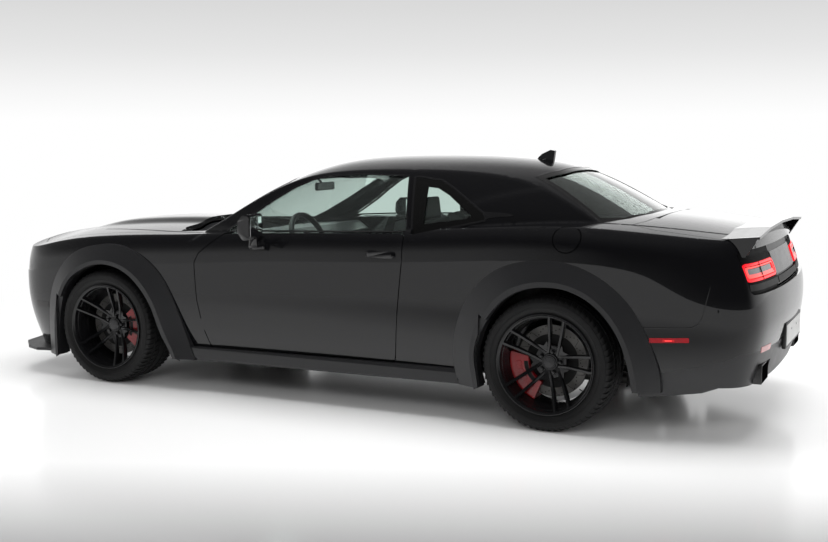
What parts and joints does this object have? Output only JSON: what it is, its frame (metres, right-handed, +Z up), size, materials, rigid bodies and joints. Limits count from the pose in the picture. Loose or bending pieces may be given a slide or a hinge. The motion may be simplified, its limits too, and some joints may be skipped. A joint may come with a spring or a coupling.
{
  "type": "car",
  "caption": "Wide-bodied two-door muscle car with wheel flares, opening doors, hood and trunk lid, turning and steering wheels, furnished cabin and lip spoiler.",
  "frame": {"origin": "ground level at the middle of the car's overall box", "axes": "+X to the nose, +Y to the car's left, +Z up"},
  "size_m": [5.0149, 2.18, 1.4745],
  "materials": {
    "body_paint": "gloss black paint",
    "satin_black": "satin black plastic",
    "window_glass": "lightly tinted green glass",
    "floor_paint": "dark body sheet",
    "liner_black": "black felted plastic",
    "cabin_plastic": "dark grained plastic",
    "seat_cloth": "black leather",
    "engine_iron": "cast block",
    "radiator_metal": "finned aluminium",
    "suspension_black": "black coated castings",
    "caliper_red": "gloss red paint",
    "exhaust_steel": "steel tube",
    "lamp_clear": "clear lamp",
    "lamp_red": "red lamp",
    "tyre_rubber": "black rubber",
    "wheel_black": "satin black coated alloy",
    "disc_steel": "machined steel"
  },
  "bodies": {
    "chassis": {"antenna_fin": "body_paint", "body_frame": "body_paint", "cowl_panel": "satin_black", "dashboard": "cabin_plastic", "engine_block": "engine_iron", "exhaust_system": "exhaust_steel", "floor_pan": "floor_paint", "front_fascia": "body_paint", "front_fenders": "body_paint", "front_seats": "seat_cloth", "front_suspension": "suspension_black", "grille": "satin_black", "headlamps": "lamp_clear", "parcel_shelf": "floor_paint", "quarter_windows": "window_glass", "radiator": "radiator_metal", "rear_calipers": "caliper_red", "rear_fascia": "body_paint", "rear_seat": "seat_cloth", "rear_suspension": "suspension_black", "rear_valance": "satin_black", "rear_window": "window_glass", "roof_panel": "body_paint", "side_sills": "satin_black", "splitter": "satin_black", "tail_lamps": "lamp_red", "wheel_flares": "satin_black", "wheel_liners": "liner_black", "windscreen": "window_glass"},
    "hood": {"hood": "body_paint"},
    "trunk_lid": {"trunk_lid": "body_paint", "spoiler": "body_paint", "lid_panel": "satin_black"},
    "door_left": {"door_left": "body_paint", "door_window_left": "window_glass"},
    "door_right": {"door_right": "body_paint", "door_window_right": "window_glass"},
    "fuel_lid": {"fuel_lid": "body_paint"},
    "steering_wheel": {"steering_wheel": "cabin_plastic"},
    "knuckle_left": {"knuckle_left": "suspension_black", "caliper_front_left": "caliper_red"},
    "knuckle_right": {"knuckle_right": "suspension_black", "caliper_front_right": "caliper_red"},
    "wheel_front_left": {"tyre_front_left": "tyre_rubber", "rim_front_left": "wheel_black", "disc_front_left": "disc_steel"},
    "wheel_front_right": {"tyre_front_right": "tyre_rubber", "rim_front_right": "wheel_black", "disc_front_right": "disc_steel"},
    "wheel_rear_left": {"tyre_rear_left": "tyre_rubber", "rim_rear_left": "wheel_black", "disc_rear_left": "disc_steel"},
    "wheel_rear_right": {"tyre_rear_right": "tyre_rubber", "rim_rear_right": "wheel_black", "disc_rear_right": "disc_steel"}
  },
  "joints": [
    {"name": "hood_hinge", "type": "hinge", "parent": "chassis", "child": "hood", "pos_m": [1.12835, 0, 0.9686], "axis": [0, -1, 0], "range_deg": [0, 55]},
    {"name": "trunk_hinge", "type": "hinge", "parent": "chassis", "child": "trunk_lid", "pos_m": [-1.75662, 0, 1.09185], "axis": [0, 1, 0], "range_deg": [0, 65]},
    {"name": "door_left_hinge", "type": "hinge", "parent": "chassis", "child": "door_left", "pos_m": [0.77423, 0.92255, 0.58], "axis": [0, 0, -1], "range_deg": [0, 65]},
    {"name": "door_right_hinge", "type": "hinge", "parent": "chassis", "child": "door_right", "pos_m": [0.77423, -0.92255, 0.58], "axis": [0, 0, 1], "range_deg": [0, 65]},
    {"name": "fuel_lid_hinge", "type": "hinge", "parent": "chassis", "child": "fuel_lid", "pos_m": [-1.3994, 0.9228, 1.0299], "axis": [0, 0.5408, -0.8412], "range_deg": [0, 80]},
    {"name": "steer_left", "type": "hinge", "parent": "chassis", "child": "knuckle_left", "pos_m": [1.571, 0.79, 0.361], "axis": [0, 0, 1], "range_deg": [-32, 32]},
    {"name": "steer_right", "type": "hinge", "parent": "chassis", "child": "knuckle_right", "pos_m": [1.571, -0.79, 0.361], "axis": [0, 0, 1], "range_deg": [-32, 32]},
    {"name": "steering_wheel_turn", "type": "hinge", "parent": "chassis", "child": "steering_wheel", "pos_m": [0.40536, 0.37514, 0.90045], "axis": [-0.9135, 0, 0.4067], "range_deg": [-384, 384]},
    {"name": "spin_front_left", "type": "hinge", "parent": "knuckle_left", "child": "wheel_front_left", "pos_m": [1.571, 0.833, 0.361], "axis": [0, 1, 0], "continuous": true},
    {"name": "spin_front_right", "type": "hinge", "parent": "knuckle_right", "child": "wheel_front_right", "pos_m": [1.571, -0.833, 0.361], "axis": [0, 1, 0], "continuous": true},
    {"name": "spin_rear_left", "type": "hinge", "parent": "chassis", "child": "wheel_rear_left", "pos_m": [-1.38, 0.833, 0.361], "axis": [0, 1, 0], "continuous": true},
    {"name": "spin_rear_right", "type": "hinge", "parent": "chassis", "child": "wheel_rear_right", "pos_m": [-1.38, -0.833, 0.361], "axis": [0, 1, 0], "continuous": true}
  ],
  "couplings": [
    {"joint": "steer_right", "follows": "steer_left", "ratio": 1},
    {"joint": "steering_wheel_turn", "follows": "steer_left", "ratio": 12}
  ]
}
